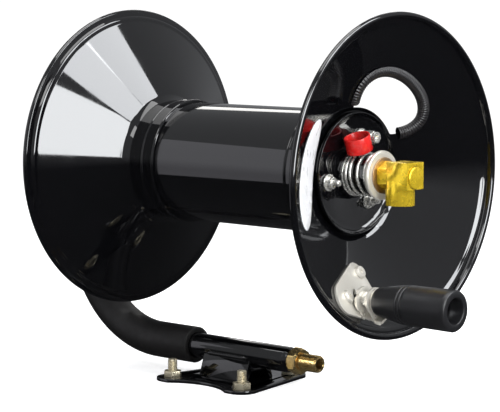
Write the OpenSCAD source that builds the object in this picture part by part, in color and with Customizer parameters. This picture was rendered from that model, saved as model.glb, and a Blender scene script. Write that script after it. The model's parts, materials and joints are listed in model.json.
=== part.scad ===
// Hose reel for a pressure hose: a steel drum between two dished discs, carried on one
// bent arm tube that stands on a bolt-down plate and feeds the water to the axle.
// Origin: underside of the base plate, in the middle between its studs.
// +X runs along the axle to the crank side, +Y to the rear, +Z up. Millimetres.

/* [Reel] */
// Outer diameter of the two dished discs
disc_d = 304.8; // [290:0.2:310]
// Distance between the planes of the two rolled rims
reel_width = 350; // [340:1:360]
// How far the middle of the reel sits from the middle of the base plate
reel_offset = 28; // [20:1:34]
// Height of the axle above the underside of the base plate
axle_height = 217; // [214:1:230]
// Outer diameter of the drum tube
drum_d = 119; // [116:1:121]
// Depth of a disc from its rim plane to the mouth of its neck
dish_depth = 51.5; // [49:0.5:53]
// Thickness of the disc and drum sheet
sheet = 1.5; // [1.2:0.1:1.6]

/* [Hose opening] */
// Direction of the opening from the axle, from +Y towards +Z
opening_angle = 66; // [60:1:72]
// Distance of the opening's centre from the axle
opening_r = 74; // [72:1:76]
// Half width of the opening across the radius
opening_half_w = 47; // [42:1:48]
// Half height of the opening along the radius
opening_half_h = 27; // [25:1:29]
// How far the opening's centre sits to the side of that direction
opening_shift = -5; // [-6:1:-4]
// Outer diameter of the split loom tube on its edge
trim_d = 12; // [11:0.5:13]

/* [Arm] */
// Outer diameter of the arm tube
tube_d = 25.4; // [25:0.1:26]
// Wall of the arm tube
tube_wall = 2; // [1.6:0.1:2.4]
// Height of the centreline of the lower run
tube_z = 28.5; // [28:0.5:30]
// X of the upright run behind the left disc
upright_x = -218.5; // [-225:0.5:-215]
// Centreline radius of the lower bend
lower_bend_r = 110; // [100:1:110]
// Centreline radius of the upper bend
upper_bend_r = 70; // [65:1:70]
// X of the inlet end of the lower run
tube_end_x = 70; // [66:1:72]
// Outer diameter of the rubber arm sleeve
sleeve_d = 37; // [35:0.5:38]

/* [Base plate] */
// Thickness of the base plate
plate_t = 3.5; // [3:0.5:4]
// Distance between the two front studs
front_pitch = 94; // [90:1:96]
// Distance between the two rear studs
rear_pitch = 62; // [58:1:66]
// Distance from the front row of studs to the rear row
row_pitch = 90; // [86:1:92]
// Corner radius of each lobe
lobe_r = 16; // [15:0.5:17]
// Diameter of the studs
stud_d = 10; // [10:1:10]
// Length of the studs above the plate
stud_up = 18; // [16:1:20]

/* [Crank] */
// Y of the grip's axis
grip_y = -42; // [-44:1:-40]
// Height of the grip's axis below the axle
grip_drop = 111; // [109:1:112]
// X where the grip starts
grip_x = 214.5; // [213.5:0.5:216]
// Length of the grip
grip_len = 86.5; // [82:0.5:92]
// Direction of the bracket plate from the axle, from +Y towards +Z
bracket_angle = -108; // [-109:1:-107]

/* [Drum lock] */
// X of the lock pin's axis
lock_x = 163.5; // [163:0.5:164]
// Direction of the lock pin from the axle, from +Y towards +Z
lock_angle = 110; // [105:1:115]
// Outer diameter of the red lock cap
cap_d = 25; // [24:0.5:27]

/* [Hidden] */

$fn = 96;
GAP = 0.3;
// Radial clearance of a shaft that turns in its bush
RUN = 0.05;

disc_r = disc_d / 2;
drum_r = drum_d / 2;
left_x = reel_offset - reel_width / 2;
right_x = reel_offset + reel_width / 2;
curl_r = 3.2;
neck_r = drum_r + 0.1 + sheet;
neck_len = 38;
// Short spigot on the disc that the neck tube butts against
mouth_len = 3;
// Radius where the cone meets the rolled rim
cone_r = disc_r - 2 * curl_r + 0.6;
cone_slope = (dish_depth - 2) / (cone_r - neck_r);
cone_tilt = atan(cone_slope);
left_hub_x = left_x + dish_depth + 3.5;
right_hub_x = right_x - dish_depth - 3.5;
hub_t = 2;
hub_lip = 7;

axle_r = 10;
axle_bore_r = 6.5;
axle_start_x = left_x - 0.5;
axle_end_x = right_x + 3;
bush_r = 15;
housing_r = 20;
housing_len = 24;
stud_circle = 36;
stud_angles = [70.5, 190.5, 310.5];

sleeve_r = 18.15;
sleeve_bore_r = 16;
sleeve_end_x = lock_x + 16.5;
coil_r = 19.65;
wire_r = 1.4;
cup_x = sleeve_end_x + 0.6;
cup_r = 23.3;
swivel_x = cup_x + 6.4;

block_x = right_x - 4.5;
block_len = 24;
block_w = 25;
port_x = right_x + 2;
port_r = 13.7;
port_bottom = -26.5;
port_bore_r = 8.1;

pin_r = 2.2;
collar_r = 15.3;
// Distance from the axle to the released pin's nose, clear of the collar, and its push to lock
nose_r = collar_r + 0.3;
lock_travel = 2;
cap_low = 23.6;
cap_high = 38.8;

nipple_x = tube_end_x + 5;
nipple_hex_len = 12;
thread_len = 21.5;
thread_r = 8.55;
plate_studs = [[-front_pitch / 2, -row_pitch / 2], [front_pitch / 2, -row_pitch / 2],
    [rear_pitch / 2, row_pitch / 2], [-rear_pitch / 2, row_pitch / 2]];
nut_h = 6;
nut_af = 16;

// ---------------------------------------------------------------- helpers

// Turns a shape whose axis is Z so that its axis lies along +X through the axle line
module on_axle(x = 0) {
    translate([x, 0, axle_height]) rotate([0, 90, 0]) children();
}

// Places a shape on a circle about the axle: angle from +Y towards +Z, axis along +X
module at_hub(x, r, angle) {
    translate([x, r * cos(angle), axle_height + r * sin(angle)]) rotate([0, 90, 0]) children();
}

// Cylinder along +X, centred on the axle line
module axle_cylinder(x0, x1, r) {
    on_axle(x0) cylinder(h = x1 - x0, r = r);
}

module axle_ring(x0, x1, r_out, r_in) {
    on_axle(x0) difference() {
        cylinder(h = x1 - x0, r = r_out);
        translate([0, 0, -1]) cylinder(h = x1 - x0 + 2, r = r_in);
    }
}

// Hexagonal prism by its width across flats
module hex(af, h) {
    cylinder(h = h, d = af / cos(30), $fn = 6);
}

module hex_nut(af, h, bore_r) {
    difference() {
        intersection() {
            hex(af, h);
            translate([0, 0, h / 2]) sphere(r = af * 0.66);
        }
        translate([0, 0, -1]) cylinder(h = h + 2, r = bore_r);
    }
}

// Points of an ellipse arc, from angle a0 to a1 in n steps
function ellipse_arc(a, b, a0, a1, n) =
    [for (i = [0:n]) let (t = a0 + (a1 - a0) * i / n) [a * cos(t), b * sin(t)]];

// Outer face of the right cone: X for a distance r from the axle
function cone_x(r) = right_x - dish_depth + (r - neck_r) * cone_slope;

function cross3(a, b) = [a[1] * b[2] - a[2] * b[1], a[2] * b[0] - a[0] * b[2],
    a[0] * b[1] - a[1] * b[0]];
function unit3(v) = v / norm(v);

// Swept tube: rings is a list of rings of points, all of one length, closed at both ends
module swept(rings) {
    n = len(rings[0]);
    m = len(rings);
    points = [for (ring = rings) each ring];
    sides = [for (i = [0:m - 2], j = [0:n - 1])
        [i * n + j, i * n + (j + 1) % n, (i + 1) * n + (j + 1) % n, (i + 1) * n + j]];
    first = [for (j = [0:n - 1]) n - 1 - j];
    last = [for (j = [0:n - 1]) (m - 1) * n + j];
    polyhedron(points, concat([first], sides, [last]), convexity = 8);
}

// ---------------------------------------------------------------- stand

module plate_outline() {
    front_w = front_pitch / 2;
    rear_w = rear_pitch / 2;
    half = row_pitch / 2;
    // Waists cut the front and rear edges back between the lobes
    waist_r = 60;
    waist_cut = 14;
    difference() {
        union() {
            for (p = plate_studs) translate(p) circle(r = lobe_r);
            polygon([[-front_w - lobe_r, -half], [-front_w, -half - lobe_r],
                [front_w, -half - lobe_r], [front_w + lobe_r, -half],
                [rear_w + lobe_r, half], [rear_w, half + lobe_r],
                [-rear_w, half + lobe_r], [-rear_w - lobe_r, half]]);
        }
        translate([0, -half - lobe_r - waist_r + waist_cut]) circle(r = waist_r);
        translate([0, half + lobe_r + waist_r - waist_cut * 0.5]) circle(r = waist_r);
    }
}

module base_plate() {
    color([0.03, 0.03, 0.035]) difference() {
        linear_extrude(plate_t) plate_outline();
        for (p = plate_studs) translate([p[0], p[1], -1]) cylinder(h = plate_t + 2, r = stud_d / 2 + 0.1);
    }
}

cradle_len = 62;
cradle_x = -2;
cradle_half = 21;
cradle_top = tube_z - 4;

// Section of the cradle's outside: feet on the plate, flanks leaning in to the tube
module cradle_outside() {
    flank = tube_d / 2 + 1.2;
    translate([cradle_x - cradle_len / 2, 0, 0]) rotate([90, 0, 90]) linear_extrude(cradle_len)
        polygon([[-cradle_half, plate_t], [cradle_half, plate_t],
            [flank, cradle_top], [-flank, cradle_top]]);
}

// Bent sheet channel under the tube
module tube_cradle() {
    wall = 3;
    web_z = tube_z - tube_d / 2 - wall;
    foot = cradle_half - wall - 1;
    inner = tube_d / 2 + 1.2 - wall;
    color([0.03, 0.03, 0.035]) difference() {
        cradle_outside();
        translate([cradle_x - cradle_len, 0, 0]) rotate([90, 0, 90]) linear_extrude(2 * cradle_len)
            polygon([[-foot, plate_t - 1], [foot, plate_t - 1], [inner, web_z], [-inner, web_z]]);
        translate([cradle_x - cradle_len, 0, tube_z]) rotate([0, 90, 0])
            cylinder(h = 2 * cradle_len, r = tube_d / 2 + 0.02);
    }
}

// Two long fillet welds that join the cradle's flanks to the tube
module cradle_welds() {
    bead_r = 2.6;
    bead_len = 54;
    bead_y = 13.2;
    color([0.04, 0.04, 0.045]) for (side = [-1, 1])
        difference() {
            union() {
                translate([cradle_x - bead_len / 2, side * bead_y, cradle_top + 1.2]) rotate([0, 90, 0])
                    cylinder(h = bead_len, r = bead_r, $fn = 32);
                for (end = [-1, 1])
                    translate([cradle_x + end * bead_len / 2, side * bead_y, cradle_top + 1.2])
                        sphere(r = bead_r, $fn = 32);
            }
            translate([cradle_x - cradle_len, 0, tube_z]) rotate([0, 90, 0])
                cylinder(h = 2 * cradle_len, r = tube_d / 2 + 0.02);
            cradle_outside();
        }
}

module base_studs() {
    color([0.78, 0.74, 0.62]) for (p = plate_studs) translate([p[0], p[1], 0]) {
        cylinder(h = plate_t + stud_up - 1, r = stud_d / 2);
        translate([0, 0, plate_t + stud_up - 1]) cylinder(h = 1, r1 = stud_d / 2, r2 = stud_d / 2 - 1);
    }
}

module base_nuts() {
    color([0.8, 0.77, 0.66]) for (p = plate_studs) translate([p[0], p[1], plate_t])
        rotate(p[0] < 0 ? 8 : 22) hex_nut(nut_af, nut_h, stud_d / 2);
}

// A run of round bar or tube along the arm's path, as solid bar of radius r
module arm_run(r, x_stop, top) {
    low_x = upright_x + lower_bend_r;
    low_z = tube_z + lower_bend_r;
    high_z = axle_height - upper_bend_r;
    translate([low_x, 0, tube_z]) rotate([0, 90, 0]) cylinder(h = x_stop - low_x, r = r);
    translate([low_x, 0, low_z]) rotate([90, 0, 0]) rotate([0, 0, 180])
        rotate_extrude(angle = 90) translate([lower_bend_r, 0]) circle(r = r);
    translate([upright_x, 0, low_z]) cylinder(h = high_z - low_z, r = r);
    if (top) {
        translate([upright_x + upper_bend_r, 0, high_z]) rotate([90, 0, 0]) rotate([0, 0, 90])
            rotate_extrude(angle = 90) translate([upper_bend_r, 0]) circle(r = r);
        axle_cylinder(upright_x + upper_bend_r, left_x + 12, r);
    }
}

module arm_tube() {
    color([0.03, 0.03, 0.035]) difference() {
        arm_run(tube_d / 2, tube_end_x, true);
        arm_run(tube_d / 2 - tube_wall, tube_end_x + 1, true);
        axle_cylinder(left_x + 11, left_x + 13, tube_d / 2 - tube_wall);
    }
}

module arm_sleeve() {
    color([0.05, 0.05, 0.05]) difference() {
        arm_run(sleeve_d / 2, -56, false);
        arm_run(tube_d / 2 + 0.05, -50, false);
        translate([upright_x, 0, axle_height - upper_bend_r - 1]) cylinder(h = 2, r = tube_d / 2 + 0.05);
    }
}

module inlet_bush() {
    color([0.05, 0.05, 0.055]) translate([tube_end_x - 16, 0, tube_z]) rotate([0, 90, 0]) difference() {
        union() {
            cylinder(h = 16, r = tube_d / 2 - tube_wall);
            translate([0, 0, 16]) cylinder(h = 4, r1 = tube_d / 2, r2 = tube_d / 2 - 1.5);
        }
        translate([0, 0, -1]) cylinder(h = 22, r = thread_r);
    }
}

// Hexagonal nipple: one threaded end in the bush, the other is the water inlet
module inlet_nipple() {
    bore_r = 5.2;
    color([0.78, 0.6, 0.27]) translate([nipple_x, 0, tube_z]) rotate([0, 90, 0]) difference() {
        union() {
            intersection() {
                hex(24, nipple_hex_len);
                translate([0, 0, nipple_hex_len / 2]) sphere(r = 14.6);
            }
            translate([0, 0, -18]) cylinder(h = 18, r = thread_r);
            translate([0, 0, nipple_hex_len]) cylinder(h = thread_len - 1.5, r = thread_r);
            translate([0, 0, nipple_hex_len + thread_len - 1.5])
                cylinder(h = 1.5, r1 = thread_r, r2 = thread_r - 1);
        }
        translate([0, 0, -20]) cylinder(h = 60, r = bore_r);
    }
}

// ---------------------------------------------------------------- axle

// Hollow axle: a spigot in the arm tube, then one diameter as far as the swivel
module axle() {
    spigot_r = tube_d / 2 - tube_wall;
    color([0.45, 0.45, 0.47]) difference() {
        union() {
            axle_cylinder(axle_start_x, left_x + 12, spigot_r);
            axle_cylinder(left_x + 12, axle_end_x, axle_r);
        }
        axle_cylinder(axle_start_x - 1, axle_end_x + 1, axle_bore_r);
        // Blind seats for the lock pin are in the collar; the axle keeps its full wall
        for (x = [axle_end_x - 12, axle_end_x - 6]) axle_ring(x, x + 2.4, axle_r + 1, axle_r - 1.5);
    }
}

module axle_weld() {
    color([0.04, 0.04, 0.045]) on_axle(left_x + 12) difference() {
        cylinder(h = 4, r1 = tube_d / 2, r2 = axle_r + 0.6);
        translate([0, 0, -1]) cylinder(h = 6, r = axle_r);
    }
}

collar_x = left_hub_x - 17;

module left_collar() {
    color([0.72, 0.7, 0.66]) difference() {
        axle_ring(collar_x, collar_x + 11, 17, axle_r);
        translate([collar_x + 5.5, 0, axle_height + 8]) cylinder(h = 12, r = 3);
    }
}

module left_collar_screw() {
    color([0.3, 0.3, 0.32]) translate([collar_x + 5.5, 0, axle_height + axle_r + 0.1]) difference() {
        cylinder(h = 6.4, r = 3);
        translate([0, 0, 3.6]) hex(3, 4);
    }
}

// Ring fixed on the axle with twelve radial seats for the lock pin
module lock_collar() {
    color([0.6, 0.6, 0.62]) difference() {
        axle_ring(lock_x - 6.5, lock_x + 6.5, collar_r, axle_r);
        for (i = [0:11]) radial_bore(lock_angle + i * 30, pin_r + 0.25, axle_r + 0.9, collar_r + 3);
    }
}

module thrust_washer() {
    color([0.72, 0.52, 0.3]) axle_ring(cup_x + 4.5 + GAP, swivel_x - GAP, 17, axle_r + RUN);
}

// ---------------------------------------------------------------- reel

// One dished disc, its rim plane at x = 0 and its mouth towards +x: cone, bead and rolled rim
module disc_shell() {
    // The sheet's thickness measured along the axle, on the cone
    back = sheet / cos(cone_tilt);
    rotate([0, 90, 0]) {
        rotate_extrude() polygon([[neck_r - sheet, dish_depth - 1], [neck_r, dish_depth],
            [cone_r, 2], [cone_r, 2 + back], [neck_r + 1, dish_depth - cone_slope + back],
            [neck_r, dish_depth + mouth_len], [neck_r - sheet, dish_depth + mouth_len]]);
        translate([0, 0, 0.6]) rotate_extrude()
            translate([disc_r - curl_r, 0]) circle(r = curl_r, $fn = 48);
        translate([0, 0, 4.4]) rotate_extrude() translate([cone_r - 3.4, 0]) circle(r = 1.7, $fn = 32);
    }
}

// Neck tube that carries on from the disc's mouth to the drum, with a faint bead and an end bead
module neck_shell() {
    rotate([0, 90, 0]) difference() {
        union() {
            translate([0, 0, dish_depth + mouth_len]) cylinder(h = neck_len - mouth_len, r = neck_r);
            translate([0, 0, dish_depth + 21]) rotate_extrude()
                translate([neck_r - 0.3, 0]) circle(r = 1, $fn = 32);
            translate([0, 0, dish_depth + neck_len - 1.6]) rotate_extrude()
                translate([neck_r, 0]) circle(r = 1.6, $fn = 32);
        }
        translate([0, 0, dish_depth]) cylinder(h = neck_len + 2, r = neck_r - sheet);
    }
}

module left_disc() {
    color([0.03, 0.03, 0.035]) translate([left_x, 0, axle_height]) disc_shell();
}

module left_neck() {
    color([0.03, 0.03, 0.035]) translate([left_x, 0, axle_height]) neck_shell();
}

module right_neck() {
    color([0.03, 0.03, 0.035]) translate([right_x, 0, axle_height]) rotate([0, 0, 180]) neck_shell();
}

// Prism through the right disc with the outline of the hose opening
module opening_cutter() {
    difference() {
        translate([right_x - dish_depth - 2, 0, axle_height]) rotate([90, 0, 90]) linear_extrude(dish_depth)
            rotate(opening_angle) translate([opening_r, opening_shift])
                polygon(ellipse_arc(opening_half_h, opening_half_w, 0, 354, 59));
        axle_cylinder(right_x - dish_depth - 4, right_x, neck_r + 1.2);
    }
}

// Frame on the cone's face: local X stands off it at a right angle, local Z runs outward along it
module cone_frame(r, angle) {
    translate([cone_x(r), r * cos(angle), axle_height + r * sin(angle)])
        rotate([angle - 90, 0, 0]) rotate([0, cone_tilt, 0]) children();
}

// Bar through the sheet at each hole of the crank bracket
module bracket_hole_bars(r) {
    for (p = bracket_holes) cone_frame(p[0], bracket_angle + p[1]) translate([-8, 0, 0])
        rotate([0, 90, 0]) cylinder(h = 20, r = r);
}

// Skin that follows the cone's face, between two distances from it
module cone_skin(low, high) {
    on_axle(right_x - dish_depth) difference() {
        translate([0, 0, low / cos(cone_tilt)]) cylinder(h = dish_depth - 2, r1 = neck_r, r2 = cone_r);
        translate([0, 0, high / cos(cone_tilt)]) cylinder(h = dish_depth - 2, r1 = neck_r, r2 = cone_r);
    }
}

module right_disc() {
    color([0.03, 0.03, 0.035]) difference() {
        translate([right_x, 0, axle_height]) rotate([0, 0, 180]) disc_shell();
        opening_cutter();
        bracket_hole_bars(3.1);
    }
}

module drum() {
    color([0.03, 0.03, 0.035]) axle_ring(left_hub_x - 1, right_hub_x + 1, drum_r, drum_r - sheet);
}

// Pressed end plate: flat face, rounded lip that leans out to the neck
module hub_plate_shell() {
    rim = drum_r - sheet - 0.05;
    rotate([0, 90, 0]) difference() {
        rotate_extrude() polygon([[0, 0], [rim - 9, 0], [rim - 5, -1.2], [rim - 1.6, -hub_lip + 2.5],
            [rim - 1.2, -hub_lip], [rim, -hub_lip], [rim, -hub_lip + 3], [rim - 3, 0.4],
            [rim - 8, hub_t], [0, hub_t]]);
        translate([0, 0, -hub_lip]) cylinder(h = 20, r = sleeve_r);
        for (a = stud_angles) rotate([0, 0, a]) translate([0, stud_circle, -5]) cylinder(h = 12, r = 3.1);
    }
}

module left_hub_plate() {
    color([0.03, 0.03, 0.035]) translate([left_hub_x, 0, axle_height]) hub_plate_shell();
}

module right_hub_plate() {
    color([0.03, 0.03, 0.035]) translate([right_hub_x, 0, axle_height]) mirror([1, 0, 0]) hub_plate_shell();
}

// Flanged housing inside the drum that carries the bush
module housing_shell() {
    rotate([0, 90, 0]) difference() {
        union() {
            cylinder(h = 4, r = stud_circle + 8);
            cylinder(h = housing_len, r = housing_r);
        }
        translate([0, 0, -1]) cylinder(h = housing_len + 2, r = bush_r);
        for (a = stud_angles) rotate([0, 0, a]) translate([0, stud_circle, -1]) cylinder(h = 8, r = 3.1);
    }
}

module left_bearing_housing() {
    color([0.35, 0.35, 0.37]) translate([left_hub_x + hub_t, 0, axle_height]) housing_shell();
}

module right_bearing_housing() {
    color([0.35, 0.35, 0.37]) translate([right_hub_x - hub_t, 0, axle_height])
        mirror([1, 0, 0]) housing_shell();
}

module left_bush() {
    color([0.72, 0.52, 0.3]) difference() {
        union() {
            axle_cylinder(left_hub_x - 2, left_hub_x + hub_t + housing_len, bush_r);
            axle_cylinder(left_hub_x - 5, left_hub_x - GAP / 10, 22);
        }
        axle_cylinder(left_hub_x - 9, left_hub_x + 40, axle_r + RUN);
    }
}

module right_bush() {
    color([0.72, 0.52, 0.3]) difference() {
        axle_cylinder(right_hub_x - hub_t - housing_len, right_hub_x - 0.1, bush_r);
        axle_cylinder(right_hub_x - 60, right_hub_x + 9, axle_r + RUN);
    }
}

module left_hub_screws() {
    color([0.8, 0.8, 0.78]) for (a = stud_angles) at_hub(left_hub_x, stud_circle, a) {
        translate([0, 0, -4]) hex(10, 4);
        cylinder(h = 18, r = 3);
    }
}

module left_hub_nuts() {
    color([0.8, 0.8, 0.78]) for (a = stud_angles) at_hub(left_hub_x + hub_t + 4, stud_circle, a)
        hex_nut(10, 5, 3);
}

stud_x = right_hub_x - hub_t - 4;

module hub_studs() {
    color([0.8, 0.8, 0.78]) for (a = stud_angles) at_hub(stud_x, stud_circle, a) {
        translate([0, 0, -4]) hex(10, 4);
        cylinder(h = (a == stud_angles[0] ? 13 : 19), r = 3);
        if (a != stud_angles[0]) translate([0, 0, 19]) cylinder(h = 0.8, r1 = 3, r2 = 2.2);
    }
}

module hub_washers() {
    color([0.82, 0.82, 0.8]) for (a = stud_angles) at_hub(right_hub_x, stud_circle, a) difference() {
        cylinder(h = 1.4, r = 8);
        translate([0, 0, -1]) cylinder(h = 4, r = 3);
    }
}

module hub_nuts() {
    color([0.82, 0.82, 0.8]) for (a = stud_angles) if (a != stud_angles[0])
        at_hub(right_hub_x + 1.4, stud_circle, a) hex_nut(10, 5.2, 3);
}

// Hexagonal standoff on the upper stud: it keeps the red cap from turning
module hub_standoff() {
    color([0.82, 0.82, 0.8]) at_hub(right_hub_x + 1.4, stud_circle, stud_angles[0]) difference() {
        intersection() {
            hex(11, 15);
            translate([0, 0, 7.5]) sphere(r = 9.6);
        }
        translate([0, 0, -1]) cylinder(h = 17, r = 3);
    }
}

module standoff_screw() {
    color([0.82, 0.82, 0.8]) at_hub(right_hub_x + 16.4, stud_circle, stud_angles[0]) difference() {
        union() {
            cylinder(h = 3.4, r = 5.4);
            translate([0, 0, -8]) cylinder(h = 8, r = 3);
        }
        translate([0, 0, 1.2]) cylinder(h = 4, r = 3);
    }
}

// Black tube around the axle that the spring sits on; its flange lies on the hub plate
module hub_sleeve() {
    color([0.03, 0.03, 0.035]) difference() {
        union() {
            axle_cylinder(right_hub_x - 0.05, sleeve_end_x, sleeve_r);
            axle_cylinder(right_hub_x + 0.05, right_hub_x + 3.5, cap_low - 0.4);
        }
        axle_cylinder(right_hub_x - 1, sleeve_end_x + 1, sleeve_bore_r);
        lock_bore(pin_r + 0.05, 10, 22);
        // Relief that the cap's edge enters when the lock is pressed in
        lock_bore(cap_d / 2 + 0.5, cap_low - lock_travel - 0.3, cap_low + 2);
    }
}

// Radial cylinder at the lock's place along the axle, from distance r0 to r1 from the axle
module radial_bore(angle, r, r0, r1) {
    translate([lock_x, 0, axle_height]) rotate([angle - 90, 0, 0]) translate([0, 0, r0])
        cylinder(h = r1 - r0, r = r);
}

// The same on the lock pin's own line
module lock_bore(r, r0, r1) {
    radial_bore(lock_angle, r, r0, r1);
}

washer_x = right_hub_x + 3.6;

module spring_washer() {
    color([0.82, 0.82, 0.8]) axle_ring(washer_x, washer_x + 1.4, 21.4, sleeve_r + 0.05);
}

// Coil: one closed turn on the washer, open turns that leave room for the lock pin
spring_turns = 4;
spring_steps = 28;
spring_x0 = washer_x + 1.5 + wire_r;
spring_x1 = cup_x - 0.1 - wire_r;
// Rise of the closed turn, and pitch of the open turns that share the rest
closed_rise = 3;
pitch = (spring_x1 - spring_x0 - closed_rise) / (spring_turns - 1.5);
function coil_rise(t) =
    t < 1 ? closed_rise * t :
    t > spring_turns - 0.5 ? spring_x1 - spring_x0 :
    closed_rise + (t - 1) * pitch;
// The open turns pass the lock pin on both sides, half a pitch away
coil_phase = lock_angle - 360 * (lock_x - pitch / 2 - spring_x0 - closed_rise) / pitch;

module drag_spring() {
    rings = [for (i = [0:spring_turns * spring_steps])
        let (t = i / spring_steps, a = coil_phase + 360 * t,
            x = spring_x0 + coil_rise(t), radial = [0, cos(a), sin(a)])
        [for (j = [0:9]) [x, coil_r * cos(a), axle_height + coil_r * sin(a)]
            + wire_r * (cos(36 * j) * radial + sin(36 * j) * [1, 0, 0])]];
    color([0.85, 0.85, 0.83]) swept(rings);
}

// Thick zinc cup on the swivel end of the spring
module spring_cup() {
    color([0.85, 0.83, 0.77]) difference() {
        union() {
            axle_cylinder(cup_x, cup_x + 1, cup_r - 1);
            axle_cylinder(cup_x + 1, cup_x + 3.5, cup_r);
            on_axle(cup_x + 3.5) cylinder(h = 1, r1 = cup_r, r2 = cup_r - 1);
        }
        axle_cylinder(cup_x - 1, cup_x + 9, axle_r + RUN);
    }
}

// ---------------------------------------------------------------- hose opening trim

// Point of the opening's edge on the disc, for the ellipse angle t
function edge_point(t) =
    let (u = opening_r + opening_half_h * cos(t), v = opening_shift + opening_half_w * sin(t),
        y = u * cos(opening_angle) - v * sin(opening_angle),
        z = u * sin(opening_angle) + v * cos(opening_angle),
        r = norm([y, z]))
    [cone_x(r) - 1, y, axle_height + z];
// Normal of the cone at a point
function cone_normal(p) =
    let (y = p[1], z = p[2] - axle_height, r = norm([y, z]))
    unit3([cos(cone_tilt), -sin(cone_tilt) * y / r, -sin(cone_tilt) * z / r]);

trim_steps = 44;
trim_start = -131;
trim_stop = 124;
slit = 20;

// Split loom tube: a C section whose slit straddles the sheet
module opening_trim() {
    rings = [for (i = [0:trim_steps])
        let (t = trim_start + (trim_stop - trim_start) * i / trim_steps,
            p = edge_point(t), q = edge_point(t + 1), n = cone_normal(p),
            along = unit3(q - p), out = cross3(along, n) * -1)
        [for (k = [0:23]) let (outer = k < 12, s = outer ? k : 23 - k,
            a = slit + (360 - 2 * slit) * s / 11, r = outer ? trim_d / 2 : trim_d / 2 - 1.1)
            p + r * (cos(a) * out * -1 + sin(a) * n)]];
    color([0.12, 0.12, 0.12]) swept(rings);
}

// Oval sticker without any print, on the concave face of the right disc
module blank_label() {
    label_angle = 176;
    label_r = 90.5;
    label_lean = -19;
    color([0.93, 0.93, 0.93]) intersection() {
        cone_skin(0.02, 0.4);
        translate([0, 0, axle_height]) rotate([90, 0, 90]) linear_extrude(right_x + 10)
            rotate(label_angle) translate([label_r, 0]) rotate(label_lean)
                polygon(ellipse_arc(26, 52, 0, 354, 59));
    }
}

// ---------------------------------------------------------------- crank

// Bracket holes: distance from the axle, and angle from the bracket's own direction
bracket_holes = [[93.8, 6.1], [122.4, -9.4]];
bracket_t = 2.5;
// X that the two ears are placed from; the grip starts clear of them
ear_x = grip_x - 2.5;

// Plate that follows the cone, a sloping tab along its lower edge and two ears for the spindle
module crank_bracket() {
    ear_r = 12.5;
    tab_slope = 35;
    tab_drop = 6.5;
    tab_start_x = ear_x - 17;
    grip_z = axle_height - grip_drop;
    color([0.86, 0.84, 0.8]) difference() {
        union() {
            intersection() {
                cone_skin(0.05, bracket_t);
                cone_frame(112, bracket_angle) translate([-6, 0, 0]) rotate([90, 0, 90])
                    linear_extrude(20) bracket_outline();
            }
            translate([tab_start_x, grip_y + 3, grip_z - 12.2]) rotate([0, tab_drop, 0])
                rotate([tab_slope, 0, 0]) translate([-6, -5.7, -bracket_t]) cube([30.5, 11.4, bracket_t]);
            // Rolled lip under the free end of the tab
            translate([ear_x, grip_y - 2.6, grip_z - 18.8]) rotate([0, 90 + tab_drop, 0])
                cylinder(h = 6, r = 1.9, $fn = 32);
            for (x = [ear_x - 16.5, ear_x - 4]) translate([x, grip_y, grip_z]) {
                rotate([0, 90, 0]) cylinder(h = bracket_t, r = ear_r);
                rotate([tab_slope, 0, 0]) translate([0, -11, -15.1]) cube([bracket_t, 11, 11]);
            }
        }
        // Nothing of the bracket reaches into the disc
        on_axle(right_x - dish_depth) difference() {
            cylinder(h = dish_depth - 2, r = disc_r);
            translate([0, 0, 0.05]) cylinder(h = dish_depth - 2, r1 = neck_r, r2 = cone_r);
        }
        bracket_hole_bars(3.05);
        along_grip(ear_x - 30) cylinder(h = 40, r = 4.05);
        // Slot behind the inner ear, where its metal was bent out
        cone_frame(112, bracket_angle) translate([-4, 8, 6.6]) rotate([90, 0, 90]) linear_extrude(11)
            rotate(-23) slot_outline();
    }
}

module slot_outline() {
    translate([-2, -6]) square([4, 12]);
    translate([0, 6]) circle(r = 2);
    translate([0, -6]) circle(r = 2);
}

// Teardrop outline: round corners at the holes and at the tab, straight sides between
module bracket_outline() {
    hull() {
        translate([-5, -20.5]) circle(r = 10.3, $fn = 32);
        translate([26, 14]) circle(r = 15.5, $fn = 32);
        translate([2, 17]) circle(r = 11, $fn = 32);
        translate([-14, -4]) circle(r = 10, $fn = 32);
    }
}

module bracket_bolts() {
    color([0.82, 0.8, 0.74]) for (p = bracket_holes) cone_frame(p[0], bracket_angle + p[1])
        rotate([0, 90, 0]) {
            difference() {
                translate([0, 0, bracket_t + 0.2]) cylinder(h = 2.8, r1 = 6.8, r2 = 5.4);
                translate([0, 0, bracket_t + 1.5]) hex(4, 3);
            }
            translate([0, 0, -sheet - 6.5]) cylinder(h = sheet + bracket_t + 6.7, r = 3);
        }
}

// Nuts behind the sheet, on the winding side
module bracket_nuts() {
    color([0.82, 0.8, 0.74]) for (p = bracket_holes) cone_frame(p[0], bracket_angle + p[1])
        translate([-sheet - 5.4, 0, 0]) rotate([0, 90, 0]) hex_nut(10, 5, 3);
}

module along_grip(x) {
    translate([x, grip_y, axle_height - grip_drop]) rotate([0, 90, 0]) children();
}

// Shoulder spindle, riveted through both ears, head inside the grip's bore
module grip_spindle() {
    color([0.8, 0.8, 0.78]) {
        along_grip(ear_x - 21) cylinder(h = grip_x - ear_x + grip_len + 1, r = 4);
        along_grip(grip_x + grip_len - 20) cylinder(h = 3, r = 8);
    }
}

module spindle_nut() {
    color([0.82, 0.82, 0.8]) along_grip(ear_x - 13.9) hex_nut(13, 6, 4);
}

module grip_washer() {
    color([0.85, 0.84, 0.8]) along_grip(ear_x - 1.4) difference() {
        cylinder(h = 3.6, r = 9.5);
        translate([0, 0, -1]) cylinder(h = 6, r = 4);
    }
}

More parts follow.
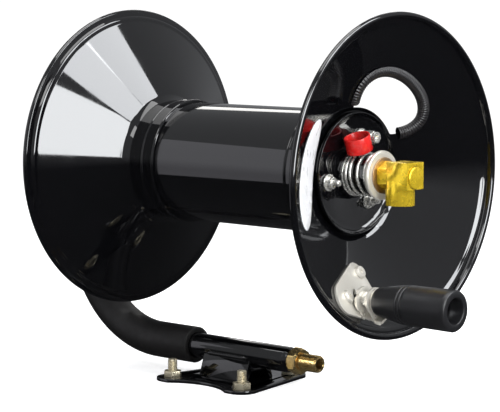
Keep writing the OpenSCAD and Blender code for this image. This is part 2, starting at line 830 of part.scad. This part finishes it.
// Turned handle: narrow at the bracket, wider towards the end, two ring grooves, open bore
module grip() {
    color([0.07, 0.07, 0.075]) along_grip(grip_x) difference() {
        rotate_extrude() polygon([[5.2, 0], [12.4, 0], [13.2, 1.5], [18.0, 30], [18.2, 31],
            [17.5, 31.6], [17.5, 32.6], [18.2, 33.2], [18.3, 35], [17.6, 35.6], [17.6, 36.6],
            [18.4, 37.2], [19, grip_len - 2], [18.2, grip_len - 0.6], [17.4, grip_len],
            [12.6, grip_len], [11.8, grip_len - 0.8], [11.6, grip_len - 22], [5.2, grip_len - 22]]);
    }
}

module grip_bush() {
    color([0.85, 0.85, 0.82]) along_grip(grip_x + 0.3) difference() {
        cylinder(h = grip_len - 22.6, r = 5.2);
        translate([0, 0, -1]) cylinder(h = grip_len, r = 4 + RUN);
    }
}

// ---------------------------------------------------------------- drum lock

// Pin through the hub sleeve: released as drawn, pressed in by lock_travel it enters a seat
module lock_pin() {
    color([0.8, 0.8, 0.78]) {
        lock_bore(pin_r, nose_r, cap_low + 6);
        lock_bore(4.2, cap_low + 2.2, cap_low + 8);
    }
}

module lock_cap() {
    color([0.85, 0.08, 0.06]) difference() {
        lock_bore(cap_d / 2, cap_low, cap_high);
        lock_bore(cap_d / 2 - 1.8, cap_low + 2.2, cap_high + 1);
        lock_bore(pin_r, cap_low - 1, cap_low + 4);
    }
}

// Rubber ring round the pin's head, inside the cap
module pin_ring() {
    color([0.05, 0.05, 0.05]) difference() {
        lock_bore(5.8, cap_low + 2.25, cap_low + 4.4);
        lock_bore(4.25, cap_low + 1, cap_low + 6);
    }
}

// ---------------------------------------------------------------- swivel elbow

module elbow_body() {
    shoulder = 11;
    color([0.86, 0.7, 0.1]) difference() {
        union() {
            on_axle(swivel_x) intersection() {
                hex(24, block_x - swivel_x + 0.5);
                translate([0, 0, 6]) sphere(r = 15.4);
            }
            translate([block_x, -block_w / 2, axle_height - shoulder])
                cube([block_len, block_w, shoulder + 14]);
            translate([port_x, 0, axle_height + port_bottom])
                cylinder(h = -port_bottom - shoulder + 8, r = port_r);
        }
        axle_cylinder(swivel_x - 1, axle_end_x + 0.6, axle_r + RUN);
        axle_cylinder(axle_end_x, block_x + block_len - 6, 7);
        axle_cylinder(block_x + block_len - 6.01, block_x + block_len + 1, 10.9);
        translate([port_x, 0, axle_height + port_bottom - 1]) cylinder(h = 15, r = port_bore_r);
        translate([port_x, 0, axle_height + port_bottom]) cylinder(h = 24, r = 5.5);
    }
}

module elbow_plug() {
    end = block_x + block_len;
    color([0.88, 0.74, 0.16]) {
        axle_cylinder(end - 6, end, 9.6);
        axle_cylinder(end - 0.01, end + 0.8, 10.4);
        on_axle(end + 0.8) cylinder(h = 0.8, r1 = 10.4, r2 = 9.6);
    }
}

module plug_seal() {
    end = block_x + block_len;
    color([0.06, 0.06, 0.06]) axle_ring(end - 5, end - 1, 10.85, 9.62);
}

module axle_seals() {
    color([0.06, 0.06, 0.06]) for (x = [axle_end_x - 12, axle_end_x - 6])
        axle_ring(x + 0.1, x + 2.3, axle_r + 0.02, axle_r - 1.48);
}

base_plate();
tube_cradle();
cradle_welds();
base_studs();
base_nuts();
arm_tube();
arm_sleeve();
inlet_bush();
inlet_nipple();
axle();
axle_weld();
left_collar();
left_collar_screw();
lock_collar();
thrust_washer();
left_disc();
right_disc();
left_neck();
right_neck();
drum();
left_hub_plate();
right_hub_plate();
left_bearing_housing();
right_bearing_housing();
left_bush();
right_bush();
left_hub_screws();
left_hub_nuts();
hub_studs();
hub_washers();
hub_nuts();
hub_standoff();
standoff_screw();
hub_sleeve();
spring_washer();
drag_spring();
spring_cup();
opening_trim();
blank_label();
crank_bracket();
bracket_bolts();
bracket_nuts();
grip_spindle();
spindle_nut();
grip_washer();
grip();
grip_bush();
lock_pin();
lock_cap();
pin_ring();
elbow_body();
elbow_plug();
plug_seal();
axle_seals();
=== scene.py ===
"""Looks for the hose reel: finer meshes, procedural materials, studio light and camera."""
import json
import math

import bmesh
import bpy
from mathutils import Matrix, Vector


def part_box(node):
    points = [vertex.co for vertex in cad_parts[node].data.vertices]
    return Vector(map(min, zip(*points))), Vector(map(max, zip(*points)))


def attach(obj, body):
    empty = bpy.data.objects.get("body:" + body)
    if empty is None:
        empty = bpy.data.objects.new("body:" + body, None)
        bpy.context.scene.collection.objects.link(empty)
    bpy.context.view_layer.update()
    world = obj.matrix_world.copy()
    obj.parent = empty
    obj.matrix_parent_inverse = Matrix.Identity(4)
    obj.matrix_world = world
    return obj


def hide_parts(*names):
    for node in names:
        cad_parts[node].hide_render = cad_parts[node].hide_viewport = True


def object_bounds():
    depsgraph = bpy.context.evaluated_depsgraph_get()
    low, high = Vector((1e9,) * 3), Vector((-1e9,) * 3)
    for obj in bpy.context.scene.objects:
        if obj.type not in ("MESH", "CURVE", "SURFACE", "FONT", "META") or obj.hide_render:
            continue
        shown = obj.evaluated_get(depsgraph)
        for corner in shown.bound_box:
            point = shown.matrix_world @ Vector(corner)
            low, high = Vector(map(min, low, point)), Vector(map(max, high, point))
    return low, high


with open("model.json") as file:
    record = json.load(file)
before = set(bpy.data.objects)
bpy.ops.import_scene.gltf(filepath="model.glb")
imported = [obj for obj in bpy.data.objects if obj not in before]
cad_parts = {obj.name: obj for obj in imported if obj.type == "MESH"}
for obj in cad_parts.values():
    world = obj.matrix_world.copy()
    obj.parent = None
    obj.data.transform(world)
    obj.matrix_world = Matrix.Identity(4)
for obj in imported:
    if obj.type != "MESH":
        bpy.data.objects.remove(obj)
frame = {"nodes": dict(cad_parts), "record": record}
cad_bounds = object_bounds()
MM = 0.001

# ------------------------------------------------------------------ sizes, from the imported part
left_low, left_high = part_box("left_disc")
right_low, right_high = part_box("right_disc")
drum_low, drum_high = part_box("drum")
disc_r = (left_high.y - left_low.y) / 2
axle_z = (left_high.z + left_low.z) / 2
drum_r = (drum_high.y - drum_low.y) / 2
SHEET = 1.5 * MM
CURL_R = 3.2 * MM
DISH_DEPTH = 51.5 * MM
NECK_LEN = 38 * MM
RIM_BACK = 2.6 * MM
neck_r = drum_r + 0.1 * MM + SHEET
cone_r = disc_r - 2 * CURL_R + 0.6 * MM
left_rim_x = left_low.x + RIM_BACK
right_rim_x = right_high.x - RIM_BACK
cone_slope = (DISH_DEPTH - 2 * MM) / (cone_r - neck_r)

# Hose opening: an ellipse, its middle this far out from the axle and this far along the rim
OPENING_ANGLE = math.radians(66)
OPENING_R = 74 * MM
OPENING_SHIFT = -5 * MM
OPENING_HALF_H = 27 * MM
OPENING_HALF_W = 47 * MM

# The lock pin's direction from the axle, which the drag spring's open turns pass on both sides
LOCK_ANGLE = math.radians(110)


# ------------------------------------------------------------------ mesh helpers
def new_object(name, bm, smooth_angle=35):
    """A mesh object in the row frame from a bmesh, smooth but for its sharp edges."""
    bmesh.ops.recalc_face_normals(bm, faces=bm.faces)
    mesh = bpy.data.meshes.new(name)
    bm.to_mesh(mesh)
    bm.free()
    mesh.shade_smooth()
    mesh.set_sharp_from_angle(angle=math.radians(smooth_angle))
    obj = bpy.data.objects.new(name, mesh)
    bpy.context.scene.collection.objects.link(obj)
    return obj


def skin_rings(bm, rings, close_length=False, caps=True):
    """Quads between rings of points, each ring a closed loop of one length."""
    rows = [[bm.verts.new(p) for p in ring] for ring in rings]
    pairs = list(zip(rows[:-1], rows[1:]))
    if close_length:
        pairs.append((rows[-1], rows[0]))
    for a, b in pairs:
        n = len(a)
        for j in range(n):
            bm.faces.new((a[j], a[(j + 1) % n], b[(j + 1) % n], b[j]))
    if caps and not close_length:
        bm.faces.new(list(reversed(rows[0])))
        bm.faces.new(rows[-1])
    return bm


def lathe(name, profile, origin, steps=256):
    """A closed outline of (along, radius) points turned about the X line through origin."""
    bm = bmesh.new()
    rings = []
    for i in range(steps):
        a = 2 * math.pi * i / steps
        ca, sa = math.cos(a), math.sin(a)
        rings.append([origin + Vector((x, r * ca, r * sa)) for x, r in profile])
    skin_rings(bm, rings, close_length=True)
    return new_object(name, bm)


def arc(cx, cy, r, a0, a1, n):
    """Points on an arc in an outline, angles in degrees."""
    out = []
    for i in range(n + 1):
        a = math.radians(a0 + (a1 - a0) * i / n)
        out.append((cx + r * math.cos(a), cy + r * math.sin(a)))
    return out


def bump_at(s, centre, width, height):
    """Height of a rounded bead of that half width at distance s."""
    t = (s - centre) / width
    return height * math.cos(t * math.pi / 2) if abs(t) < 1 else 0.0


def apply_cut(obj, cutter):
    """Cuts cutter out of obj for good and deletes the cutter."""
    mod = obj.modifiers.new("cut", "BOOLEAN")
    mod.operation = "DIFFERENCE"
    mod.solver = "EXACT"
    mod.object = cutter
    bpy.context.view_layer.update()
    mesh = bpy.data.meshes.new_from_object(obj.evaluated_get(bpy.context.evaluated_depsgraph_get()))
    obj.modifiers.clear()
    obj.data = mesh
    mesh.shade_smooth()
    mesh.set_sharp_from_angle(angle=math.radians(35))
    bpy.data.objects.remove(cutter)


# ------------------------------------------------------------------ materials
def procedural(name, color, metallic, rough, spread=0.08, tint=0.85, patch=30, grain=900,
               bump=0.15, depth=0.02, specular=0.5, stretch=(1, 1, 1)):
    """Noise in three sizes: patches in the colour, smears in the roughness, grain in the surface."""
    mat = bpy.data.materials.new(name)
    mat.use_nodes = True
    nodes, links = mat.node_tree.nodes, mat.node_tree.links
    bsdf = nodes["Principled BSDF"]
    bsdf.inputs["Metallic"].default_value = metallic
    bsdf.inputs["Specular IOR Level"].default_value = specular
    coords = nodes.new("ShaderNodeTexCoord")
    mapping = nodes.new("ShaderNodeMapping")
    mapping.inputs["Scale"].default_value = stretch
    links.new(coords.outputs["Object"], mapping.inputs["Vector"])

    def noise(scale, detail):
        n = nodes.new("ShaderNodeTexNoise")
        n.inputs["Scale"].default_value = scale
        n.inputs["Detail"].default_value = detail
        links.new(mapping.outputs["Vector"], n.inputs["Vector"])
        return n.outputs["Fac"]

    mix = nodes.new("ShaderNodeMix")
    mix.data_type = "RGBA"
    mix.inputs["A"].default_value = (*color, 1)
    mix.inputs["B"].default_value = (*[c * tint for c in color], 1)
    links.new(noise(patch, 5), mix.inputs["Factor"])
    links.new(mix.outputs["Result"], bsdf.inputs["Base Color"])

    smear = nodes.new("ShaderNodeMapRange")
    smear.inputs["From Min"].default_value = 0.3
    smear.inputs["From Max"].default_value = 0.7
    smear.inputs["To Min"].default_value = max(0.01, rough - spread / 2)
    smear.inputs["To Max"].default_value = rough + spread / 2
    links.new(noise(patch * 3.1, 8), smear.inputs["Value"])
    links.new(smear.outputs["Result"], bsdf.inputs["Roughness"])

    relief = nodes.new("ShaderNodeBump")
    relief.inputs["Strength"].default_value = bump
    relief.inputs["Distance"].default_value = depth * MM
    links.new(noise(grain, 3), relief.inputs["Height"])
    links.new(relief.outputs["Normal"], bsdf.inputs["Normal"])
    return mat


MATERIALS = {
    "black_enamel": procedural("black_enamel", (0.002, 0.002, 0.0025), 0, 0.05, 0.05, 0.7, 14, 240,
                               0.10, 0.03, specular=0.9),
    "sleeve_rubber": procedural("sleeve_rubber", (0.007, 0.006, 0.006), 0, 0.55, 0.2, 0.6, 40, 1400,
                                0.5, 0.08),
    "yellow_zinc": procedural("yellow_zinc", (0.72, 0.65, 0.48), 0.75, 0.30, 0.12, 0.85, 60, 500,
                              0.15, 0.02),
    "bright_zinc": procedural("bright_zinc", (0.72, 0.71, 0.67), 0.8, 0.24, 0.12, 0.85, 60, 500,
                              0.15, 0.02),
    "cream_zinc": procedural("cream_zinc", (0.70, 0.67, 0.60), 0.6, 0.34, 0.14, 0.88, 40, 420, 0.15, 0.02),
    "turned_steel": procedural("turned_steel", (0.56, 0.56, 0.57), 1, 0.22, 0.12, 0.8, 50, 900, 0.3, 0.02,
                               stretch=(6, 1, 1)),
    "black_oxide": procedural("black_oxide", (0.05, 0.05, 0.055), 0.8, 0.4, 0.15, 0.7, 80, 1500, 0.3, 0.02),
    "grey_iron": procedural("grey_iron", (0.2, 0.2, 0.21), 0.7, 0.6, 0.2, 0.7, 60, 700, 0.8, 0.12),
    "bronze": procedural("bronze", (0.6, 0.4, 0.22), 1, 0.4, 0.15, 0.75, 80, 1200, 0.4, 0.03),
    "nylon": procedural("nylon", (0.82, 0.8, 0.75), 0, 0.45, 0.1, 0.93, 40, 900, 0.2, 0.02),
    "brass": procedural("brass", (0.90, 0.66, 0.28), 0.95, 0.20, 0.10, 0.85, 50, 420, 0.12, 0.02),
    "elbow_brass": procedural("elbow_brass", (0.80, 0.56, 0.03), 0.7, 0.26, 0.12, 0.9, 40, 420, 0.15, 0.03),
    "seal_rubber": procedural("seal_rubber", (0.012, 0.012, 0.012), 0, 0.6, 0.15, 0.7, 60, 1400, 0.4, 0.04),
    "red_plastic": procedural("red_plastic", (0.50, 0.012, 0.010), 0, 0.26, 0.12, 0.82, 50, 900, 0.2, 0.03),
    "grip_plastic": procedural("grip_plastic", (0.008, 0.008, 0.009), 0, 0.38, 0.14, 0.75, 40, 1100,
                               0.4, 0.04),
    "loom_plastic": procedural("loom_plastic", (0.012, 0.011, 0.012), 0, 0.34, 0.14, 0.75, 60, 900,
                               0.3, 0.03),
    "label_film": procedural("label_film", (0.62, 0.62, 0.63), 0, 0.3, 0.1, 0.96, 30, 700, 0.12, 0.02),
}
slot_of = {s["node"]: s["material_slot"] for s in frame["record"]["subparts"]}


def finish_piece(obj, body, node_names):
    """Material, body, slot and replaced nodes of a piece that stands for CAD nodes."""
    name = slot_of[node_names[0]]
    obj.data.materials.clear()
    obj.data.materials.append(MATERIALS[name])
    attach(obj, body)
    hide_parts(*node_names)
    return obj


def dress_cad_node(node, bevel_mm=0.25):
    """Material and softened edges for a CAD node that is shown as it is."""
    obj = frame["nodes"][node]
    obj.data.materials.clear()
    obj.data.materials.append(MATERIALS[slot_of[node]])
    obj.data.shade_smooth()
    weld = obj.modifiers.new("weld", "WELD")
    weld.merge_threshold = 0.002 * MM
    if bevel_mm:
        edge = obj.modifiers.new("edge", "BEVEL")
        edge.width = bevel_mm * MM
        edge.segments = 2
        edge.limit_method = "ANGLE"
        edge.angle_limit = math.radians(38)
        edge.harden_normals = True
    else:
        obj.data.set_sharp_from_angle(angle=math.radians(38))


# ------------------------------------------------------------------ discs and drum
def disc_profile():
    """Outline of one disc: x from its rim plane towards the drum, and the distance from the axle."""
    length = math.hypot(DISH_DEPTH - 2 * MM, cone_r - neck_r)
    nx = (cone_r - neck_r) / length
    nr = (DISH_DEPTH - 2 * MM) / length

    def cone_point(s, side):
        """side 0 is the dish's face and 1 its back; both carry the bead near the rim."""
        x = DISH_DEPTH + (2 * MM - DISH_DEPTH) * s
        r = neck_r + (cone_r - neck_r) * s
        lift = bump_at(s, 0.955, 0.03, 1.1 * MM)
        off = (SHEET + lift) if side else -lift
        return (x + nx * off, r + nr * off)

    neck_end = DISH_DEPTH + NECK_LEN
    inner = [(neck_end, neck_r - SHEET), (DISH_DEPTH + 3 * MM, neck_r - SHEET)]
    face = [cone_point(0.03 + 0.955 * i / 60, 0) for i in range(61)]
    curl = arc(0.6 * MM, disc_r - CURL_R, CURL_R, 245, 30, 24)
    back = [cone_point(0.985 - 0.945 * i / 60, 1) for i in range(61)]
    neck = []
    for i in range(61):
        x = DISH_DEPTH + 5 * MM + (NECK_LEN - 5 * MM) * i / 60
        lift = bump_at(x, DISH_DEPTH + 21 * MM, 1.2 * MM, 0.6 * MM)
        lift += bump_at(x, neck_end - 1.8 * MM, 1.8 * MM, 1.5 * MM)
        neck.append((x, neck_r + lift))
    return inner + face + curl + back + neck


def make_disc(name, rim_x, direction):
    profile = [(x * direction, r) for x, r in disc_profile()]
    return lathe(name, profile, Vector((rim_x, 0, axle_z)))


def opening_edge(degrees):
    """Y and Z from the axle of the hose opening's ellipse at an angle of its own."""
    t = math.radians(degrees)
    u = OPENING_R + OPENING_HALF_H * math.cos(t)
    v = OPENING_SHIFT + OPENING_HALF_W * math.sin(t)
    ca, sa = math.cos(OPENING_ANGLE), math.sin(OPENING_ANGLE)
    return u * ca - v * sa, u * sa + v * ca


def opening_cutter():
    """Prism with the hose opening's outline: its ellipse, cut off by a circle about the axle."""
    trim_low, trim_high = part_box("opening_trim")
    flat_r = neck_r + 1.2 * MM
    outline = []
    for i in range(120):
        y, z = opening_edge(3 * i - 180)
        r = math.hypot(y, z)
        if r < flat_r:
            y, z = y * flat_r / r, z * flat_r / r
        outline.append((y, z))
    bm = bmesh.new()
    ends = (trim_low.x - 8 * MM, trim_high.x + 8 * MM)
    skin_rings(bm, [[Vector((x, y, axle_z + z)) for y, z in outline] for x in ends])
    return new_object("opening_cutter", bm)


left_disc = finish_piece(make_disc("left_disc_pressing", left_rim_x, 1), "reel", ["left_disc", "left_neck"])
right_disc = make_disc("right_disc_pressing", right_rim_x, -1)
apply_cut(right_disc, opening_cutter())
finish_piece(right_disc, "reel", ["right_disc", "right_neck"])

drum_outline = [(drum_low.x, drum_r - SHEET), (drum_high.x, drum_r - SHEET), (drum_high.x, drum_r),
                (drum_low.x, drum_r)]
drum = lathe("drum_tube", drum_outline, Vector((0, 0, axle_z)))
finish_piece(drum, "reel", ["drum"])


# ------------------------------------------------------------------ split loom on the hose opening
def ribbed_loom():
    """Split loom tube along the opening's edge: a C section whose ribs repeat every few millimetres."""
    tilt_cone = math.atan(cone_slope)
    rib_pitch, rib_depth, wall, radius = 2.6 * MM, 0.55 * MM, 1.0 * MM, 6.0 * MM
    start, stop, steps = -131, 124, 560

    def edge(t):
        y, z = opening_edge(t)
        r = math.hypot(y, z)
        x = right_rim_x - DISH_DEPTH + (r - neck_r) * cone_slope
        return Vector((x - 1 * MM, y, axle_z + z))

    rings, run = [], 0.0
    for i in range(steps + 1):
        t = start + (stop - start) * i / steps
        p, q = edge(t), edge(t + 0.5)
        run += (edge(t + (stop - start) / steps) - p).length
        away = Vector((0, p.y, p.z - axle_z)).normalized()
        normal = (Vector((1, 0, 0)) * math.cos(tilt_cone) - away * math.sin(tilt_cone)).normalized()
        along = (q - p).normalized()
        outward = -along.cross(normal)
        swell = rib_depth * (0.5 + 0.5 * math.tanh(2.4 * math.sin(2 * math.pi * run / rib_pitch)))
        ring = []
        for k in range(28):
            outer = k < 14
            s = k if outer else 27 - k
            a = math.radians(20 + 320 * s / 13)
            r = radius - rib_depth + swell - (0 if outer else wall)
            ring.append(p + (outward * -math.cos(a) + normal * math.sin(a)) * r)
        rings.append(ring)
    bm = bmesh.new()
    skin_rings(bm, rings)
    return new_object("opening_loom", bm, 60)


finish_piece(ribbed_loom(), "reel", ["opening_trim"])


# ------------------------------------------------------------------ spring, threads and welds
def coil_spring():
    """Round wire on the CAD spring's own helix, drawn with finer steps."""
    low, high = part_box("drag_spring")
    wire_r = 1.4 * MM
    coil_r = (high.y - low.y) / 2 - wire_r
    x0, x1 = low.x + wire_r, high.x - wire_r
    turns, closed_rise = 4, 3 * MM
    pitch = (x1 - x0 - closed_rise) / (turns - 1.5)
    pin_low, pin_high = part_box("lock_pin")
    pin_x = (pin_low.x + pin_high.x) / 2
    phase = LOCK_ANGLE - 2 * math.pi * (pin_x - pitch / 2 - x0 - closed_rise) / pitch
    steps, rings = 72, []
    for i in range(turns * steps + 1):
        t = i / steps
        if t < 1:
            rise = closed_rise * t
        elif t > turns - 0.5:
            rise = x1 - x0
        else:
            rise = closed_rise + (t - 1) * pitch
        a = phase + 2 * math.pi * t
        radial = Vector((0, math.cos(a), math.sin(a)))
        centre = Vector((x0 + rise, 0, axle_z)) + radial * coil_r
        rings.append([centre + (radial * math.cos(b) + Vector((1, 0, 0)) * math.sin(b)) * wire_r
                      for b in [2 * math.pi * j / 16 for j in range(16)]])
    bm = bmesh.new()
    skin_rings(bm, rings)
    return new_object("drag_spring_coil", bm, 60)


finish_piece(coil_spring(), "reel", ["drag_spring"])


def threaded_rod(name, base, length, major_r, pitch, plain=0.0, steps=28):
    """A screw thread that stands on base: its radius rises and falls with angle and height."""
    depth = 0.6 * pitch
    rings = []
    rows = max(8, int(length / (pitch / 7)))
    for i in range(rows + 1):
        d = length * i / rows
        edge = min(d, length - d)
        ring = []
        for j in range(steps):
            a = 2 * math.pi * j / steps
            saw = abs(((d / pitch - a / (2 * math.pi)) % 1) * 2 - 1)
            cut = depth * saw if d > plain else 0.0
            r = major_r - cut - max(0.0, 0.8 * MM - edge) * (1 if d > length / 2 else 0)
            ring.append(base + Vector((r * math.cos(a), r * math.sin(a), d)))
        rings.append(ring)
    bm = bmesh.new()
    skin_rings(bm, rings)
    return new_object(name, bm, 60)


def stud_threads():
    """One threaded stud at each solid of the base studs' node."""
    low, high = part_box("base_studs")
    stud_r = 5 * MM
    plate_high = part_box("base_plate")[1]
    front, rear = low.y + stud_r, high.y - stud_r
    front_half = high.x - stud_r
    rear_half = 31 * MM
    places = [(-front_half, front), (front_half, front), (rear_half, rear), (-rear_half, rear)]
    for i, (x, y) in enumerate(places):
        rod = threaded_rod(f"base_stud_{i + 1}", Vector((x, y, low.z)), high.z - low.z, stud_r,
                           1.5 * MM, plain=plate_high.z)
        finish_piece(rod, "stand", ["base_studs"])


stud_threads()


def nipple():
    """Hexagon nipple along X: chamfered hexagon, tapered thread with a plain lead, and the bore."""
    low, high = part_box("inlet_nipple")
    centre = Vector((0, (low.y + high.y) / 2, (low.z + high.z) / 2))
    flats, thread_r, bore_r, hex_len, pitch = 24 * MM, 8.55 * MM, 5.2 * MM, 12 * MM, 1.34 * MM
    thread_len = 21.5 * MM
    lead_len = 1.4 * MM
    hex_start = high.x - thread_len - hex_len
    steps, rings = 144, []

    def ring(x, radius):
        """radius is one number, or a function of the angle"""
        angles = [2 * math.pi * j / steps for j in range(steps)]
        return [centre + Vector((x, (radius(a) if callable(radius) else radius) * math.cos(a),
                                 (radius(a) if callable(radius) else radius) * math.sin(a))) for a in angles]

    def hexagon(limit):
        def radius(a):
            return min(limit, flats / 2 / math.cos((a + math.pi / 6) % (math.pi / 3) - math.pi / 6))
        return radius

    rings.append(ring(low.x, thread_r))
    rings.append(ring(hex_start, thread_r))
    rings.append(ring(hex_start, flats / 2 - 0.4 * MM))
    for i in range(13):
        d = hex_len * i / 12
        chamfer = 1.9 * MM * max(0.0, 1 - min(d, hex_len - d) / (2.2 * MM))
        rings.append(ring(hex_start + d, hexagon(flats / 2 / math.cos(math.pi / 6) - 0.25 * MM - chamfer)))
    rings.append(ring(high.x - thread_len, thread_r + 1.2 * MM))
    rings.append(ring(high.x - thread_len, thread_r - 0.9 * MM))
    rings.append(ring(high.x - thread_len + lead_len, thread_r - 0.9 * MM))
    rows = 150
    for i in range(rows + 1):
        d = lead_len + (thread_len - lead_len) * i / rows
        lead = max(0.0, d - (thread_len - 1.6 * MM)) * 0.7

        def threaded(a, d=d, lead=lead):
            saw = abs(((d / pitch - a / (2 * math.pi)) % 1) * 2 - 1)
            return thread_r - 0.62 * pitch * min(1.0, max(0.0, saw * 1.25 - 0.12)) - lead
        rings.append(ring(high.x - thread_len + d, threaded))
    rings.append(ring(high.x, bore_r + 0.8 * MM))
    rings.append(ring(high.x - 0.8 * MM, bore_r))
    rings.append(ring(low.x, bore_r))
    bm = bmesh.new()
    skin_rings(bm, rings, close_length=True)
    return new_object("inlet_nipple_threaded", bm, 30)


finish_piece(nipple(), "stand", ["inlet_nipple"])


def weld_bead(name, side):
    """A fillet weld with the ripples of its passes, along the cradle's flank."""
    low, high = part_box("cradle_welds")
    x0, x1 = low.x + 2.6 * MM, high.x - 2.6 * MM
    y = side * (high.y - 2.6 * MM)
    z = high.z - 2.6 * MM
    lean = 0.5 * MM
    angles = [2 * math.pi * j / 18 for j in range(18)]
    rings, steps = [], 150
    for i in range(steps + 1):
        u = i / steps
        end = min(1.0, math.sin(math.pi * min(u, 1 - u) * 6) if min(u, 1 - u) < 1 / 12 else 1.0)
        ripple = 0.14 * MM * math.sin(2 * math.pi * u * 24)
        r = max(0.2 * MM, (2.35 * MM + ripple) * max(0.15, end))
        x = x0 + (x1 - x0) * u
        rings.append([Vector((x + lean * math.cos(b), y + r * math.cos(b), z + r * math.sin(b)))
                      for b in angles])
    bm = bmesh.new()
    skin_rings(bm, rings)
    return new_object(name, bm, 70)


for side, word in ((-1, "front"), (1, "rear")):
    finish_piece(weld_bead(f"weld_{word}", side), "stand", ["cradle_welds"])

# ------------------------------------------------------------------ every other node, as the CAD has it
shown_by_pieces = {"left_disc", "left_neck", "right_disc", "right_neck", "drum", "opening_trim",
                   "drag_spring", "base_studs", "cradle_welds", "inlet_nipple"}
# Width of the softened edges in mm, where it isn't the usual 0.2
soft_edges = {"base_plate": 0.5, "elbow_body": 1.0, "elbow_plug": 0.5, "crank_bracket": 0.35,
              "grip": 0.4, "spring_cup": 0.3, "arm_sleeve": 0.8, "lock_cap": 0.35,
              "tube_cradle": 0.6, "blank_label": 0.0}
for node in sorted(set(frame["nodes"]) - shown_by_pieces):
    dress_cad_node(node, soft_edges.get(node, 0.2))

# ------------------------------------------------------------------ floor, light, camera
low, high = cad_bounds
middle = (Vector(low) + Vector(high)) / 2


def make_floor():
    """Round pale table that glows a little, as a lit table for product pictures does."""
    bm = bmesh.new()
    bmesh.ops.create_circle(bm, cap_ends=True, segments=96, radius=3.0)
    floor = new_object("floor", bm, 60)
    paint = procedural("floor_paint", (0.92, 0.92, 0.92), 0, 0.6, 0.05, 0.99, 3, 60, 0.02, 0.1)
    bsdf = paint.node_tree.nodes["Principled BSDF"]
    bsdf.inputs["Emission Color"].default_value = (1, 1, 1, 1)
    bsdf.inputs["Emission Strength"].default_value = 0.62
    floor.data.materials.append(paint)
    floor.visible_glossy = False


def softbox(name, place, aim, size, radiance, color=(1, 1, 1)):
    """A soft panel at place that faces aim: size is its width and height, and its power follows
    from how bright its face is."""
    data = bpy.data.lights.new(name, "AREA")
    data.shape = "RECTANGLE"
    data.size, data.size_y = size
    data.energy = radiance * math.pi * size[0] * size[1]
    data.color = color
    obj = bpy.data.objects.new(name, data)
    bpy.context.scene.collection.objects.link(obj)
    obj.location = Vector(place)
    obj.rotation_euler = (Vector(aim) - Vector(place)).to_track_quat("-Z", "Y").to_euler()


def make_world():
    """White as the camera sees it. The paint reflects a dim room above and darkness below."""
    world = bpy.data.worlds.new("studio")
    world.use_nodes = True
    nodes, links = world.node_tree.nodes, world.node_tree.links
    coords = nodes.new("ShaderNodeTexCoord")
    split = nodes.new("ShaderNodeSeparateXYZ")
    links.new(coords.outputs["Generated"], split.inputs["Vector"])
    fade = nodes.new("ShaderNodeMapRange")
    fade.inputs["From Min"].default_value = -0.12
    fade.inputs["From Max"].default_value = 0.08
    fade.inputs["To Min"].default_value = 0.03
    fade.inputs["To Max"].default_value = 0.34
    links.new(split.outputs["Z"], fade.inputs["Value"])
    room = nodes["Background"]
    room.inputs["Color"].default_value = (0.94, 0.96, 1.0, 1)
    links.new(fade.outputs["Result"], room.inputs["Strength"])
    white = nodes.new("ShaderNodeBackground")
    white.inputs["Color"].default_value = (1, 1, 1, 1)
    white.inputs["Strength"].default_value = 1.1
    seen = nodes.new("ShaderNodeLightPath")
    mix = nodes.new("ShaderNodeMixShader")
    links.new(seen.outputs["Is Camera Ray"], mix.inputs["Fac"])
    links.new(room.outputs["Background"], mix.inputs[1])
    links.new(white.outputs["Background"], mix.inputs[2])
    links.new(mix.outputs["Shader"], nodes["World Output"].inputs["Surface"])
    bpy.context.scene.world = world


CAMERA_AZIMUTH = math.radians(42.18)
CAMERA_ELEVATION = math.radians(6.03)
CAMERA_DISTANCE = 1.98
CAMERA_LENS_MM = 144


def make_camera():
    """The viewpoint: azimuth from +Y towards -X, looking a little down on the middle of the reel."""
    aim = Vector((middle.x - 13.3 * MM, middle.y - 1.7 * MM, middle.z - 8 * MM))
    forward = Vector((-math.sin(CAMERA_AZIMUTH) * math.cos(CAMERA_ELEVATION),
                      math.cos(CAMERA_AZIMUTH) * math.cos(CAMERA_ELEVATION), -math.sin(CAMERA_ELEVATION)))
    data = bpy.data.cameras.new("camera")
    data.lens = CAMERA_LENS_MM
    data.sensor_width = 36
    obj = bpy.data.objects.new("camera", data)
    obj.location = aim - forward * CAMERA_DISTANCE
    obj.rotation_euler = forward.to_track_quat("-Z", "Y").to_euler()
    bpy.context.scene.collection.objects.link(obj)
    bpy.context.scene.camera = obj


make_floor()
make_camera()
make_world()
hub = Vector((middle.x, middle.y, axle_z))
left_face = Vector((left_high.x, -0.06, 0.26))
softbox("right_strip", (1.3, -0.44, 0.64), left_face, (0.62, 0.86), 11, (0.96, 0.98, 1.0))
softbox("right_high_near", (1.3, 0.16, 1.5), left_face, (0.6, 0.74), 9, (0.95, 0.97, 1.0))
softbox("right_high_far", (1.32, 0.92, 1.84), left_face, (0.84, 0.7), 8, (0.95, 0.97, 1.0))
softbox("drum_front", hub + Vector((-1.25, -1.2, 0.2)), hub, (0.8, 1.5), 0.6, (0.93, 0.92, 1.0))
softbox("drum_top", hub + Vector((-1.2, 0.97, 0.93)), hub, (1.3, 0.24), 4, (1.0, 0.98, 0.94))
softbox("overhead", (0, 0, 2.6), (0, 0, 0), (1.8, 1.8), 3.2)
softbox("front_key", hub + Vector((0.8, -1.5, 1.6)), hub, (0.9, 0.7), 4)
bpy.context.scene.view_settings.view_transform = "Standard"
